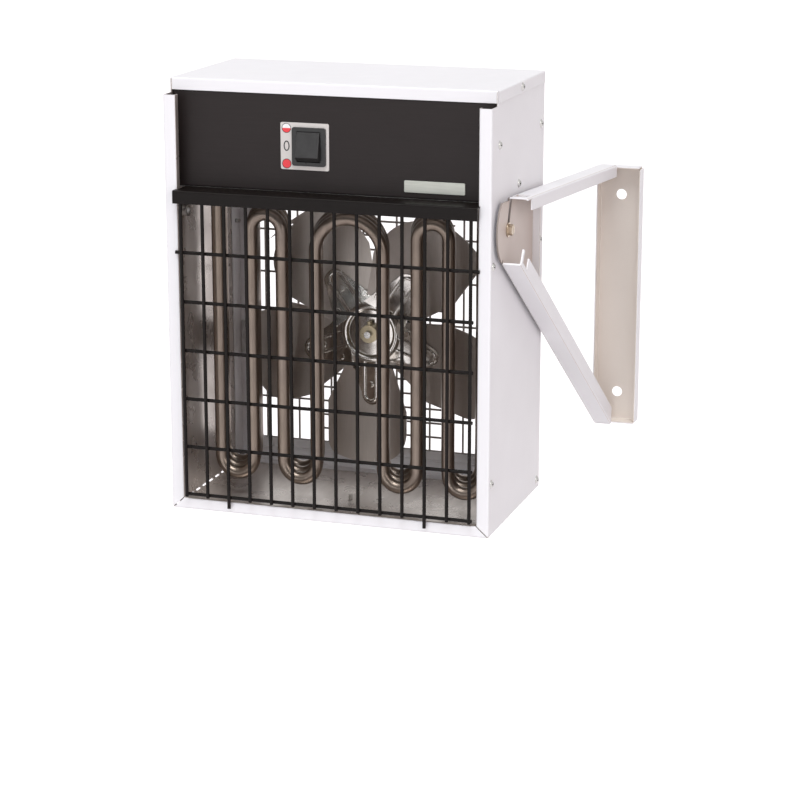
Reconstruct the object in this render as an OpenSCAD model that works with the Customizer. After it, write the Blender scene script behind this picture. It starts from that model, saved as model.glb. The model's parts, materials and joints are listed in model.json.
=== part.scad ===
// Wall mounted fan heater, in mm. +Z is up, +X is to the viewer's right and +Y runs into the wall.
// Every module is drawn in the casing's corner frame: X from the left side wall, Y from the front
// flanges, Z from the floor. The module placed() moves it to the part's own frame, whose origin is
// midway between the two wall holes, on the wall.

/* [Casing] */
// Outside width of the casing
casing_w = 285; // [270:1:300]
// Depth from the front flanges to the rear panel
casing_d = 160; // [158:1:172]
// Height of the front flanges above the bottom
front_h = 358.4; // [350:0.4:370]
// Thickness of the casing's sheet
sheet = 1; // [0.8:0.1:1.2]
// Inside radius of the sheet's bends
bend_in = 0.6; // [0.4:0.1:1]
// Width of the side flanges at the front
flange_w = 11; // [9:0.5:13]
// Height of the bottom flange
sill_h = 10; // [8:0.5:11]
// Depth of the hems behind the front flanges
hem = 6; // [4:0.5:8]
// Width of the gap in the mitred bottom corners
mitre_gap = 1.2; // [0.8:0.2:2]
// Pitch of the stitch slots along the bottom bends
stitch_pitch = 14.5; // [13:0.5:18]
// Length of one stitch slot
stitch_len = 9.5; // [7:0.5:11]
// Width of one stitch slot
stitch_w = 1.6; // [1.2:0.1:2]
// Distance of the first stitch slot from the front
stitch_front = 10.9; // [8:0.1:14]

/* [Lid] */
// Height of the lid's top above the front flanges
lid_rise = 12.5; // [12:0.5:16]
// Height of the lid's edges
lid_edge = 10.2; // [8:0.2:11]
// Thickness of the lid's sheet
lid_t = 0.8; // [0.6:0.1:1]
// Setback of the lid's front edge from the front flanges
lid_setback = 17; // [14:0.5:20]

/* [Control box] */
// Height of the control box below the top of the front flanges
control_h = 78.9; // [74:0.1:84]
// Depth of the fixing flanges inside the casing
fix_flange = 14; // [12:1:18]
// Height of the upright flanges of the control box's floor
floor_edge = 13; // [11:1:16]
// Diameter of the hole for the motor's wires
wire_hole_d = 9; // [6:1:12]
// Pitch of the terminal block's poles
pole_pitch = 12; // [10:0.5:13]
// Depth and height of the terminal block
block_d = 24; // [20:1:28]
block_h = 20; // [16:1:24]
// Diameter of the cut-out's body
cutout_d = 16; // [14:0.5:18]

/* [Switch] */
// Distance of the switch's middle from the left side
switch_x = 123; // [90:1:200]
// Height of the switch's middle above the control box's floor
switch_rise = 38.5; // [30:0.5:46]
// Width of the switch's bezel
bezel_w = 29.5; // [27:0.5:34]
// Height of the switch's bezel
bezel_h = 32; // [31:0.5:36]
// Thickness of the bezel in front of the label plate
bezel_t = 2; // [1.5:0.5:3]
// Depth of the switch's body behind the panel
body_depth = 25; // [20:1:32]
// Width of the rocker
rocker_w = 20; // [14:0.5:20.5]
// Radius of the rocker about its pin
rocker_r = 13; // [12:0.1:13.2]
// Distance from the rocker's pin to its front face
rocker_face = 8; // [6:0.5:9]
// Depth of the rocker's pin behind the bezel's front
rocker_depth = 4; // [3.5:0.5:5]
// Angle of the rocker from its middle to an end position
rocker_tilt = 14; // [8:1:16]
// Diameter of the rocker's pin
rocker_pin_d = 3; // [2:0.5:4]
// Width of the plate round the switch
label_w = 42.5; // [40:0.5:60]
// Height of the plate round the switch
label_h = 39.2; // [37:0.2:46]
// Width of the bare plate at the panel's right
plate_w = 52; // [40:1:60]
// Height of the bare plate
plate_h = 9.8; // [8:0.2:12]
// Thickness of the two plates
plate_t = 0.6; // [0.4:0.1:1]
// Distance from the bare plate's right edge to the casing's right side
plate_right = 27.5; // [18:0.5:40]
// Height of the bare plate's lower edge above the control box's floor
plate_rise = 5.2; // [3:0.2:12]

/* [Front grille] */
// Diameter of the grille's wires
wire_d = 3; // [2:0.2:3.4]
// Number of upright wires
upright_count = 14; // [10:1:18]
// Number of level wires
level_count = 6; // [4:1:8]
// Distance of the outer upright wires from the casing's sides
upright_margin = 15.6; // [13:0.2:20]
// Height of the lowest level wire
level_low = 14.3; // [12:0.1:18]
// Distance from the rail's lower edge to the highest level wire
level_drop = 42.4; // [30:0.2:50]
// Length of the highest level wire past the outer upright wires
level_past = 6.5; // [3:0.5:8]
// Height of the tips of the two long upright wires
tip_low = 5.4; // [3:0.2:8]
// Height of the black rail's front
rail_h = 11; // [9:0.5:14]
// Distance from the rail's ends to the casing's sides
rail_end = 9.5; // [5:0.5:12]

/* [Heating elements] */
// Diameter of the heating tubes
tube_d = 11; // [8:0.5:12]
// Distance from the rear row's tubes to the fan's hub plate
row_fan_gap = 34; // [32:0.5:36]
// Pitch of the rows
row_pitch = 17; // [15:0.5:18]
// Shift of each row to the left of the one in front
row_shift = 5.5; // [0:0.5:6]
// Distance of the first row's middle from the left side
row_mid = 145.5; // [142:0.5:147]
// Width between the tubes of the wide middle bend
wide_pitch = 60.6; // [56:0.2:64]
// Width between the tubes of the four lower bends
low_pitch = 30.4; // [26:0.2:33]
// Width between the tubes of the two narrow upper bends
top_pitch = 28; // [26:0.2:30]
// Height of the lower bends' underside
tube_low = 16; // [12:0.5:24]
// Distance from the upper bends' top to the control box's floor
tube_top_gap = 21; // [18:0.5:30]
// Across flats of the nuts on the tubes' ends
tube_nut_af = 16; // [15:0.5:16.5]
// Height of the nuts on the tubes' ends
tube_nut_h = 4; // [3:0.5:6]
// Diameter of the terminal pins
terminal_d = 4; // [3:0.5:5]
// Length of the terminal pins
terminal_len = 12; // [9:0.5:14]

/* [Fan] */
// Radius of the blades' tips
fan_r = 121; // [105:1:124]
// Number of blades
blade_count = 5; // [4:1:5]
// Angle of the first blade
blade_first = -90; // [-108:1:-72]
// Width of a blade on its leading side
lead_w = 43; // [34:1:45]
// Width of a blade on its trailing side
trail_w = 38; // [30:1:40]
// Corner radius on the leading side
lead_corner = 17; // [10:1:24]
// Corner radius on the trailing side
trail_corner = 34; // [20:1:36]
// Pitch angle of the blades
blade_pitch = 16; // [8:1:20]
// Radius of the blades' camber
camber_r = 150; // [120:5:300]
// Thickness of the blades' sheet
blade_t = 1; // [0.8:0.1:1.4]
// Distance from the fan's hub plate to the motor's core
fan_lead = 16; // [15:0.5:18]
// Length of the shaft in front of the hub plate
shaft_lead = 13; // [10:0.5:14]
// Radius at which the blades begin
root_r = 29; // [28.5:0.5:31]
// Radius from which a blade has its full width
full_r = 66; // [60:1:72]
// Width of a blade's root on its leading side
root_lead_w = 24; // [21:0.5:28]
// Width of a blade's root on its trailing side
root_trail_w = 22; // [20:0.5:26]
// Radius of the two inner rivets of a blade, and of the outer one
rivet_in = 32; // [31.5:0.5:36]
rivet_out = 47; // [42:0.5:52]
// Distance of the inner rivets from the arm's middle
rivet_half = 15; // [12:0.5:16]
// Outer radius of the hub plate
spider_r = 27; // [24:0.5:30]
// Thickness of the hub plate
spider_t = 1.2; // [1:0.1:1.6]
// Radius at the round end of an arm's middle
arm_r = 56; // [50:1:62]
// Half width of an arm at its round end
arm_tip_w = 9.5; // [8:0.5:12]
// Half width of an arm at its root
arm_root_w = 21; // [16:0.5:22]
// Radius of the raised beads on the arms
rib_r = 1.7; // [1.2:0.1:2.2]
// Radius of the hub bushing
hub_r = 8; // [7:0.5:11]

/* [Motor] */
// Diameter of the motor's shaft
shaft_d = 6; // [5:0.5:8]
// Distance of the motor's strap from the casing's back
motor_back = 10; // [10:0.5:14]
// Thickness of the laminated core
core_t = 16; // [14:1:18]
// Width of the laminated core
core_w = 60; // [56:1:70]
// Width of the core's two limbs
limb_w = 11; // [9:0.5:13]
// Height of the core's bar that carries the coil
coil_bar_h = 13; // [11:0.5:14]
// Radius of the rotor
rotor_r = 19; // [16:0.5:20]
// Air gap round the rotor
air_gap = 0.5; // [0.4:0.1:0.8]
// Height of the coil's middle above the shaft
coil_rise = 40; // [38:0.5:44]
// Height of the coil
coil_h = 32; // [26:1:33]
// Width of the coil
coil_w = 33; // [28:1:34]
// Thickness of the winding round the core's bar, in front and behind
coil_grow = 7; // [5:0.5:8]
// Width of the bearing bridges
bridge_w = 14; // [12:0.5:18]
// Height of the bearing bridges' feet
bridge_rise = 7; // [6:0.5:7]
// Thickness of the bearing bridges
bridge_t = 2.5; // [2:0.1:3]
// Radius of the bearings' bosses
boss_r = 8; // [6:0.5:9]
// Height of the strap that carries the motor
strap_h = 30; // [24:1:32]
// Thickness of the strap
strap_t = 1.5; // [1.2:0.1:2]

/* [Rear panel] */
// Width of the uprights beside the air inlet
stile_w = 22; // [20:0.5:26]
// Height of the ledge below the air inlet
ledge_h = 23.5; // [20:0.5:28]
// Distance from the air inlet's top to the control box's floor
inlet_drop = 22.5; // [18:0.5:30]
// Diameter of the rear guard's wires
guard_d = 2; // [1.6:0.2:2.6]
// Pitch of the guard's upright wires
guard_upright_pitch = 31.3; // [28:0.1:33]
// Distance of the first upright wire from the casing's left side
guard_left = 25.5; // [24:0.5:28]
// Number of the guard's upright wires
guard_uprights = 8; // [6:1:8]
// Number of the guard's long level wires
guard_levels = 7; // [5:1:9]
// Number of short wires between two long ones
short_wires = 2; // [1:1:3]
// Length of the short wires
short_len = 126; // [110:1:140]
// Diameter of the supply cable's bore
cable_d = 10; // [8:0.5:12]

/* [Bracket] */
// Thickness of the bracket's sheet
bracket_t = 1.5; // [1.5:0.1:2]
// Distance of the tilt axis from the front flanges
pivot_y = 34.7; // [32:0.1:38]
// Depth of the tilt axis below the control box's floor
pivot_drop = 24.1; // [18:0.1:30]
// Thickness of the friction washer between casing and bracket
washer_t = 2.45; // [2.4:0.05:3]
// Radius of the pivot plate's round front
pivot_plate_r = 30; // [26:0.5:33]
// Distance of the pivot plate's rear edge behind the tilt axis
pivot_plate_d = 78; // [70:1:90]
// Height of the upper arm above the tilt axis
arm_rise = 26.6; // [24:0.2:29]
// Width of the arms
arm_w = 17.5; // [15:0.5:22]
// Depth of the upper arm's lips
upper_lip = 11.3; // [8:0.1:14]
// Depth of the lower arm's lips
lower_lip = 14.3; // [10:0.1:18]
// Width of the pivot plate's rear flange
stiff_w = 8; // [6:0.5:10]
// Distance of the wall from the front flanges
wall_y = 366.5; // [350:0.5:400]
// Width of the wall plate
wall_plate_w = 42; // [36:1:60]
// Height of the wall plate
wall_plate_h = 248; // [236:1:270]
// Height of the wall plate's top above the tilt axis
wall_plate_rise = 3.6; // [0:0.2:10]
// Depth of the wall plate's flanges
wall_flange = 14; // [10:0.5:18]
// Distance between the two wall holes
hole_spacing = 192; // [160:1:210]
// Diameter of the wall holes
hole_d = 10; // [6:0.5:12]
// Diameter of the pivot screw
pivot_d = 6; // [5:0.5:7]

/* [Screws] */
// Diameter of the sheet screws
screw_d = 3.5; // [3:0.1:4]
// Diameter of the sheet screws' heads
screw_head_d = 7.4; // [6.5:0.1:8]
// Height of the sheet screws' heads
screw_head_h = 2; // [1.4:0.1:2]
// Length of the sheet screws below the head
screw_len = 6; // [5:0.5:8]
// Length of the cross recess in the sheet screws' heads
recess_len = 4; // [3:0.2:5]
// Width of the cross recess
recess_w = 0.9; // [0.7:0.1:1.2]
// Diameter of the motor's screws
motor_screw_d = 4; // [3:0.5:4.5]

/* [Hidden] */
$fn = 32;
// Clearances: running fits, snug holes, faces that slide, and the overrun of a cut
run_fit = 0.05;
snug = 0.1;
slide = 0.15;
over = 1;
// Wires that are spot welded lie this far apart, so that each one stays a round solid of its own
weld = 0.04;
// Rows of heating tubes, one piece each, and poles of the terminal block
row_count = 3;
pole_count = 5;
// Places in the control box, from the casing's right side and its back
block_inset = 100;
block_back = 60;
gland_inset = 60;
gland_rise = 34;
// The fan's small lengths: its bushing, its rivets, the ribs' distance from the arms' edges, and how far
// the corners of the blades' two sides stay inside the tip circle
hub_len = 12.5;
rivet_r = 1.7;
rib_edge = 3.2;
lead_tip = 2;
trail_tip = 4;
ring_t = 2;
bend_r = sheet + bend_in;
box_z = front_h - control_h;
pivot_z = box_z - pivot_drop;
lid_top = front_h + lid_rise;
wall_top = lid_top - lid_t - 0.4;
lid_low = lid_top - lid_edge;
fascia_y = lid_setback + lid_t + 0.2;
inner_x = sheet + snug;
rear_y = casing_d - sheet;
mid_x = casing_w / 2;
switch_z = box_z + switch_rise;
label_y = fascia_y - plate_t;
bezel_y = label_y - bezel_t;
pin_y = bezel_y + rocker_depth;
rail_y = -2 * wire_d - weld;
inlet_z = box_z - inlet_drop;
seam_z = box_z - 4 * sheet;
fan_z = (ledge_h + inlet_z) / 2;
strap_y = casing_d - motor_back;
core_y = strap_y - core_t;
fan_y = core_y - fan_lead;
row_front = fan_y - row_fan_gap - (row_count - 1) * row_pitch;
tube_top = box_z - tube_top_gap;
bracket_x = casing_w + washer_t + slide;
plate_top = pivot_z + wall_plate_rise;
plate_low = plate_top - wall_plate_h;
plate_x = bracket_x - bracket_t;
plate_front = wall_y - wall_flange;
row_z = plate_top - wall_plate_h / 2;
row_x = plate_x + wall_plate_w / 2;
bracket_r = bracket_t + bend_in;
// Screw places on a side wall, as distances from the front and heights
front_screw_y = 6;
rear_screw_y = casing_d - 9.5;
box_screw_rise = 47;
grille_screw_drop = 50;
grille_screw_low = 45.7;
fascia_screw = [fascia_y + 4.6, box_z + box_screw_rise];
floor_screw_yz = [casing_d / 2 + 1.5, box_z + floor_edge / 2];
lid_screw = [casing_d * 0.54, lid_low + lid_edge / 2];
grille_screws = [[front_screw_y, box_z - grille_screw_drop], [front_screw_y + 1, grille_screw_low]];
rear_screws = [
  [rear_screw_y, box_z + box_screw_rise],
  [rear_screw_y, box_z - grille_screw_drop - screw_d],
  [rear_screw_y + 1.5, sill_h - 1.5]];
floor_screw_x = mid_x - 2;
floor_screw_y = row_front + 0.9 * row_pitch;

// Shapes shared by several pieces

module placed() {
  translate([-row_x, -wall_y, -row_z]) children();
}

// Sections drawn in (Y, Z) and run along X, and sections drawn in (X, Z) and run along Y
module along_x(len) {
  rotate([90, 0, 90]) linear_extrude(len) children();
}

module along_y(len) {
  translate([0, len, 0]) rotate([90, 0, 0]) linear_extrude(len) children();
}

// Swaps the two directions of a section
module swap() {
  mirror([1, -1]) children();
}

// The two side walls share what is drawn for the right one
module both_sides() {
  children();
  translate([casing_w, 0, 0]) mirror([1, 0, 0]) children();
}

// A round bar from the wall inwards, drawn along +X
module bar_x(r, len) {
  rotate([0, 90, 0]) cylinder(r = r, h = len);
}

module bar_y(r, len) {
  rotate([-90, 0, 0]) cylinder(r = r, h = len);
}

// A rectangle whose two lower corners are round, as the outside of a folded channel
module trough(w, h, r) {
  translate([r, 0]) square([w - 2 * r, h]);
  translate([0, r]) square([w, h - r]);
  translate([r, r]) circle(r);
  translate([w - r, r]) circle(r);
}

// A folded channel: its web along X, its two legs up to their own heights
module channel(w, left, right, t, r) {
  h = max(left, right);
  difference() {
    trough(w, h, r);
    translate([t, t]) trough(w - 2 * t, h, r - t);
    translate([-over, left]) square([w / 2 + over, h]);
    translate([w / 2, right]) square([w / 2 + over, h]);
  }
}

// A folded angle: one leg along X, the other one up from the round corner
module angle_section(a, b, t, r) {
  difference() {
    corner(a, b, r);
    translate([t, t]) corner(a, b, r - t);
  }
}

module corner(a, b, r) {
  translate([r, 0]) square([a - r, b]);
  translate([0, r]) square([a, b - r]);
  translate([r, r]) circle(r);
}

// A flat shape with round corners, its lower left corner at the origin
module rounded(w, h, r) {
  translate([r, 0]) square([w - 2 * r, h]);
  translate([0, r]) square([w, h - 2 * r]);
  for (x = [r, w - r], y = [r, h - r]) translate([x, y]) circle(r);
}

// A folded tray: its plate at z = 0, its four edges going up, open at the corners
module tray(w, l, depth, t, r) {
  translate([0, r, 0]) along_y(l - 2 * r) channel(w, depth, depth, t, r);
  translate([r, 0, 0]) along_x(w - 2 * r) channel(l, depth, depth, t, r);
}

// A sheet screw through the wall at the origin, its domed head with a cross recess at negative x
module sheet_screw() {
  $fn = 24;
  recess_depth = screw_head_h * 0.6;
  bar_x(screw_d / 2, screw_len);
  difference() {
    intersection() {
      translate([-screw_head_h, 0, 0]) bar_x(screw_head_d / 2, screw_head_h);
      translate([dome_r() - screw_head_h, 0, 0]) sphere(dome_r());
    }
    for (turn = [0, 90]) rotate([turn, 0, 0])
      translate([-screw_head_h - over, -recess_w / 2, -recess_len / 2])
        cube([over + recess_depth, recess_w, recess_len]);
  }
}

// The radius of a dome as high and as wide as a sheet screw's head
function dome_r() = (screw_head_d * screw_head_d / 4 + screw_head_h * screw_head_h) / (2 * screw_head_h);

module screw_hole(p) {
  translate([-over, p[0], p[1]]) bar_x(screw_d / 2 + snug, fix_flange);
}

// Casing and lid

module flange_column() {
  difference() {
    translate([0, 0, bend_r]) linear_extrude(front_h - bend_r)
      channel(flange_w, bend_r + over, hem, sheet, bend_r);
    translate([0, -over, 0]) along_y(hem + 2 * over) polygon([
      [-over, mitre_z(-over) + mitre_gap / 2],
      [flange_w + over, mitre_z(flange_w + over) + mitre_gap / 2],
      [flange_w + over, -over],
      [-over, -over]]);
  }
}

// The height of the mitre line at a distance from the casing's side
function mitre_z(x) = x * sill_h / flange_w;

module sill() {
  difference() {
    translate([bend_r, 0, 0]) along_x(casing_w - 2 * bend_r)
      swap() channel(sill_h, bend_r + over, hem, sheet, bend_r);
    both_sides() translate([0, -over, 0]) along_y(hem + 2 * over) polygon([
      [-over, mitre_z(-over) - mitre_gap / 2],
      [flange_w + over, mitre_z(flange_w + over) - mitre_gap / 2],
      [flange_w + over, sill_h + over],
      [-over, sill_h + over]]);
  }
}

module stitch_slots() {
  count = floor((casing_d - 2 * stitch_front) / stitch_pitch) + 1;
  for (i = [0:count - 1]) translate([bend_r / 2, stitch_front + i * stitch_pitch, bend_r / 2])
    rotate([0, 45, 0]) cube([stitch_w, stitch_len, 4 * bend_r], center = true);
}

module casing() color("white") {
  floor_gap = [stile_w / 2, casing_d - 7];
  difference() {
    union() {
      translate([0, bend_r, 0]) along_y(rear_y - bend_r + sheet)
        channel(casing_w, wall_top, wall_top, sheet, bend_r);
      both_sides() flange_column();
      sill();
    }
    // The side walls step down in front of the lid and below its rear edge
    translate([-over, -over, front_h]) cube([casing_w + 2 * over, lid_setback + over - lid_t, lid_rise]);
    translate([-over, casing_d - lid_t - slide, lid_low - snug])
      cube([casing_w + 2 * over, sheet + over, lid_rise]);
    // The floor stops short of the rear panel
    translate([floor_gap[0], floor_gap[1], -over])
      cube([casing_w - 2 * floor_gap[0], casing_d - floor_gap[1] + over, sheet + 2 * over]);
    both_sides() {
      stitch_slots();
      for (p = grille_screws) screw_hole(p);
      for (p = rear_screws) screw_hole(p);
      for (p = [fascia_screw, floor_screw_yz, lid_screw]) screw_hole(p);
      translate([-over, pivot_y, pivot_z]) bar_x(pivot_d / 2 + snug, sheet + 2 * over);
    }
    translate([floor_screw_x, floor_screw_y, -over]) cylinder(r = screw_d / 2 + snug, h = sheet + 2 * over);
  }
}

module top_lid() color("white") difference() {
  translate([-lid_t - snug, lid_setback, lid_top]) mirror([0, 0, 1])
    tray(casing_w + 2 * (lid_t + snug), casing_d - lid_setback, lid_edge, lid_t, lid_t + bend_in);
  both_sides() screw_hole(lid_screw);
}

// Control box, switch and plates

module control_fascia() color("dimgray") {
  w = casing_w - 2 * inner_x;
  difference() {
    translate([inner_x, fascia_y, box_z]) union() {
      translate([0, 0, bend_r]) linear_extrude(wall_top - box_z - bend_r)
        channel(w, fix_flange, fix_flange, sheet, bend_r);
      translate([bend_r, 0, 0]) along_x(w - 2 * bend_r)
        angle_section(fascia_foot(), bend_r + over, sheet, bend_r);
    }
    both_sides() screw_hole(fascia_screw);
    translate([switch_x, fascia_y - over, switch_z]) along_y(sheet + 2 * over)
      square([body_w() + 2 * snug, body_h() + 2 * snug], center = true);
  }
}

// The fascia's lower flange ends before the nuts of the first row of tubes
function fascia_foot() = 0.6 * (row_front - tube_nut_af / 2 - fascia_y);

// The switch's body is as wide as the rocker with its two walls, and as high as its recess
function body_w() = rocker_w + 4;
function body_h() = 2 * recess_r() + 2.2;
function recess_r() = rocker_r + 0.35;

module switch_label() color("gainsboro") {
  left = label_w - bezel_w / 2 - 2.5;
  difference() {
    translate([switch_x - left, label_y, switch_z - label_h / 2]) along_y(plate_t)
      rounded(label_w, label_h, 1.5);
    translate([switch_x - body_w() / 2 - snug, label_y - over, switch_z - body_h() / 2 - snug])
      cube([body_w() + 2 * snug, plate_t + 2 * over, body_h() + 2 * snug]);
  }
}

module name_plate() color("tan") {
  translate([casing_w - plate_right - plate_w, label_y, box_z + plate_rise]) along_y(plate_t)
    rounded(plate_w, plate_h, 1);
}

module switch_housing() color("black") translate([switch_x, 0, switch_z]) {
  difference() {
    union() {
      translate([-bezel_w / 2, bezel_y, -bezel_h / 2]) along_y(bezel_t) rounded(bezel_w, bezel_h, 2);
      translate([-body_w() / 2, label_y, -body_h() / 2]) cube([body_w(), plate_t + body_depth, body_h()]);
    }
    // The rocker's round recess and the two holes of its pin
    translate([-rocker_w / 2 - 0.4, pin_y, 0]) bar_x(recess_r(), rocker_w + 0.8);
    translate([-body_w() / 2 - over, pin_y, 0]) bar_x(rocker_pin_d / 2 + run_fit, body_w() + 2 * over);
  }
  // Flat terminals at the back
  for (x = [-rocker_w / 4, rocker_w / 4], z = [-body_h() / 4, 0, body_h() / 4])
    translate([x - 0.4, fascia_y + body_depth, z - 3]) cube([0.8, 8, 6]);
}

module switch_rocker() color("black") translate([switch_x, pin_y, switch_z]) rotate([-rocker_tilt, 0, 0]) {
  rear = 3;
  rocker_edge = 0.8;
  intersection() {
    translate([-rocker_w / 2, 0, 0]) bar_x(rocker_r, rocker_w);
    translate([-rocker_w / 2, -rocker_face, -rocker_r - over]) linear_extrude(2 * (rocker_r + over))
      rounded(rocker_w, rocker_face + rear, rocker_edge);
  }
  translate([-body_w() / 2, 0, 0]) bar_x(rocker_pin_d / 2, body_w());
}

module control_box_floor() color("silver") {
  w = casing_w - 2 * inner_x;
  low_w = fix_flange + 4;
  flange_y = fascia_y + fix_flange + 2;
  flange_end = casing_d - fix_flange - 6;
  difference() {
    union() {
      translate([inner_x + bend_r, fascia_y, box_z - sheet])
        cube([w - 2 * bend_r, rear_y - fascia_y - snug, sheet]);
      translate([inner_x, flange_y, box_z - sheet]) along_y(flange_end - flange_y)
        channel(w, floor_edge, floor_edge, sheet, bend_r);
    }
    both_sides() screw_hole(floor_screw_yz);
    element_places() translate([0, 0, box_z - sheet - over])
      cylinder(r = tube_d / 2 + snug, h = sheet + 2 * over);
    translate([mid_x, core_y, box_z - sheet - over]) cylinder(d = wire_hole_d, h = sheet + 2 * over);
    both_sides() translate([0, rear_y - fix_flange - 2, box_z - sheet - over])
      cube([inner_x + sheet + snug + bend_r, fix_flange + 4, sheet + 2 * over]);
  }
}

// Front grille

module grille_rail() color("black") {
  depth = fascia_y - rail_y - slide;
  translate([rail_end, rail_y - sheet, box_z]) mirror([0, 0, 1]) difference() {
    along_x(casing_w - 2 * rail_end) angle_section(depth + sheet, rail_h, sheet, bend_r);
    // The top flange runs back between the two side flanges of the casing
    translate([-over, sheet - rail_y - slide, -over])
      cube([flange_w - rail_end + over + 0.4, depth, sheet + 2 * over]);
    translate([casing_w - rail_end - flange_w - 0.4, sheet - rail_y - slide, -over])
      cube([flange_w - rail_end + over + 0.4, depth, sheet + 2 * over]);
  }
}

module front_grille() color("black") {
  $fn = 16;
  step = (casing_w - 2 * upright_margin) / (upright_count - 1);
  level_top = box_z - rail_h - level_drop;
  level_step = (level_top - level_low) / (level_count - 1);
  level_y = -wire_d / 2;
  upright_y = level_y - wire_d - weld;
  long_wires = [2, upright_count - 3];
  for (i = [0:upright_count - 1]) {
    low = i == long_wires[0] || i == long_wires[1] ? tip_low : level_low - wire_d / 2;
    translate([upright_margin + i * step, upright_y, low]) cylinder(d = wire_d, h = box_z - sheet - low);
  }
  for (i = [0:level_count - 1]) {
    past = i == level_count - 1 ? level_past : wire_d / 2;
    translate([upright_margin - past, level_y, level_low + i * level_step])
      bar_x(wire_d / 2, casing_w - 2 * (upright_margin - past));
  }
}

// Heating elements

// The distances of a row's eight tubes from its middle, on one side
leg_1 = wide_pitch / 2;
leg_2 = leg_1 + low_pitch;
leg_3 = leg_2 + top_pitch;
leg_4 = leg_3 + low_pitch;

module element_places() {
  $fn = 24;
  for (row = [0:row_count - 1], side = [-1, 1])
    translate([row_mid - row * row_shift + side * leg_4, row_front + row * row_pitch, 0]) children();
}

// Half a ring of tube in the X-Z plane, opening downwards, its two ends at z = 0
module tube_bend(pitch) {
  rotate([90, 0, 0]) rotate_extrude(angle = 180, $fn = 24)
    translate([pitch / 2, 0]) circle(d = tube_d, $fn = 16);
}

module tube_leg(x, low, high) {
  translate([x, 0, low]) cylinder(d = tube_d, h = high - low, $fn = 16);
}

// Where the tubes end above their nuts
function tube_end() = box_z + tube_nut_h + tube_d / 4;

module heating_element(row) color("saddlebrown") {
  low = tube_low + (tube_d + low_pitch) / 2;
  high = tube_top - (tube_d + top_pitch) / 2;
  wide_high = tube_top - (tube_d + wide_pitch) / 2;
  translate([row_mid - row * row_shift, row_front + row * row_pitch, 0]) {
    translate([0, 0, wide_high]) tube_bend(wide_pitch);
    for (side = [0, 1]) mirror([side, 0, 0]) {
      tube_leg(leg_1, low, wide_high);
      tube_leg(leg_2, low, high);
      tube_leg(leg_3, low, high);
      tube_leg(leg_4, low, tube_end());
      translate([(leg_2 + leg_3) / 2, 0, high]) tube_bend(top_pitch);
      for (x = [(leg_1 + leg_2) / 2, (leg_3 + leg_4) / 2])
        translate([x, 0, low]) mirror([0, 0, 1]) tube_bend(low_pitch);
    }
  }
}

// A nut above the sheet and a collar below it hold each end of a tube
module element_nuts() color("goldenrod") element_places() difference() {
  collar_h = tube_nut_h / 2;
  union() {
    translate([0, 0, box_z]) cylinder(d = tube_nut_af / cos(30), h = tube_nut_h, $fn = 6);
    translate([0, 0, box_z - sheet - collar_h]) cylinder(d = tube_nut_af, h = collar_h);
  }
  translate([0, 0, box_z - sheet - collar_h - over])
    cylinder(d = tube_d, h = tube_nut_h + sheet + collar_h + 2 * over);
}

module element_terminals() color("lightgray") element_places() {
  seal_h = 0.4 * terminal_len;
  translate([0, 0, tube_end()]) cylinder(d = 0.7 * tube_d, h = seal_h);
  translate([0, 0, tube_end() + seal_h]) cylinder(d = terminal_d, h = terminal_len);
}

// Motor, drawn about the shaft

module at_shaft(y) {
  translate([mid_x, y, fan_z]) children();
}

module motor_stator() color("slategray") at_shaft(core_y) {
  half = core_w / 2;
  bore = rotor_r + air_gap;
  window_low = bore + 0.3 * limb_w;
  difference() {
    along_y(core_t) difference() {
      translate([-half, -half]) rounded(core_w, half + coil_rise + coil_bar_h / 2, 0.4 * limb_w);
      circle(bore, $fn = 48);
      // The window between the rotor's block and the bar that carries the coil
      translate([limb_w - half, window_low])
        square([core_w - 2 * limb_w, coil_rise - coil_bar_h / 2 - window_low]);
      for (x = [-1, 1]) translate([x * bridge_x(), strap_screw_z()]) circle(d = motor_screw_d);
    }
    for (x = [-1, 1]) translate([x * bridge_x(), -over, 0]) bar_y(motor_screw_d / 2, core_t + 2 * over);
  }
}

// The core's screws: their distance from the shaft, and the height of the two that hold it on the strap
function bridge_x() = (core_w - limb_w) / 2;
function strap_screw_z() = (limb_w - core_w) / 2;

module motor_coil() color("sienna") at_shaft(core_y) difference() {
  translate([-coil_w / 2, -coil_grow, coil_rise - coil_h / 2]) along_x(coil_w)
    rounded(core_t + 2 * coil_grow, coil_h, 0.7 * coil_grow);
  translate([-coil_w / 2 - over, 0, coil_rise - coil_bar_h / 2])
    cube([coil_w + 2 * over, core_t, coil_bar_h]);
}

// A bearing bridge with its feet on the core at y = 0 and its web towards -y
module bridge(boss) {
  foot = 0.45 * limb_w;
  difference() {
    union() {
      for (side = [0, 1]) mirror([side, 0, 0])
        translate([bridge_x() - foot, -bridge_rise, -bridge_w / 2]) cube([2 * foot, bridge_rise, bridge_w]);
      translate([-bridge_x() - foot, -bridge_rise, -bridge_w / 2])
        cube([2 * (bridge_x() + foot), bridge_t, bridge_w]);
      translate([0, -bridge_rise - boss, 0]) bar_y(boss_r, bridge_t + boss);
    }
    translate([0, -bridge_rise - boss - over, 0]) bar_y(shaft_d / 2 + run_fit, bridge_t + boss + 2 * over);
    for (x = [-1, 1]) translate([x * bridge_x(), -bridge_rise - over, 0])
      bar_y(motor_screw_d / 2, bridge_rise + 2 * over);
  }
}

module motor_bearing_front() color("silver") at_shaft(core_y) bridge(1.2 * bridge_t);

module motor_bearing_rear() color("silver") at_shaft(strap_y) mirror([0, 1, 0]) bridge(0.6 * bridge_t);

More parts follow.
